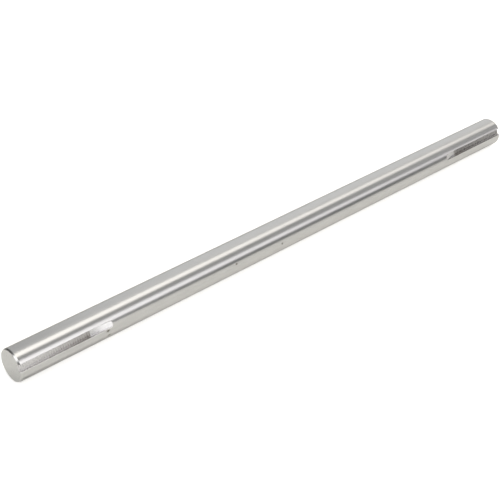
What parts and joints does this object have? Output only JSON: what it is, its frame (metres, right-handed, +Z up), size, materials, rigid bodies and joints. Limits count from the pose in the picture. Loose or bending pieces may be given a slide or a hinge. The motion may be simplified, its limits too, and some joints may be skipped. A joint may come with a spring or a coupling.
{
  "type": "fan shaft",
  "caption": "Straight round fan shaft in bright ground steel, chamfered at both ends, with an open-ended milled keyway at each end for a keyed hub or pulley.",
  "frame": {"origin": "on the shaft's axis, halfway between the end faces", "axes": "+X along the axis, towards the end with the slightly longer keyway; +Z up with the shaft lying level; the keyways open towards -Y, 18.3 degrees above level"},
  "size_m": [0.635, 0.0302, 0.0301],
  "materials": {
    "ground_steel": "bright ground round bar with fine marks around it, faced ends and milled keyways"
  },
  "bodies": {
    "root": {"fan_shaft": "ground_steel"}
  },
  "joints": []
}
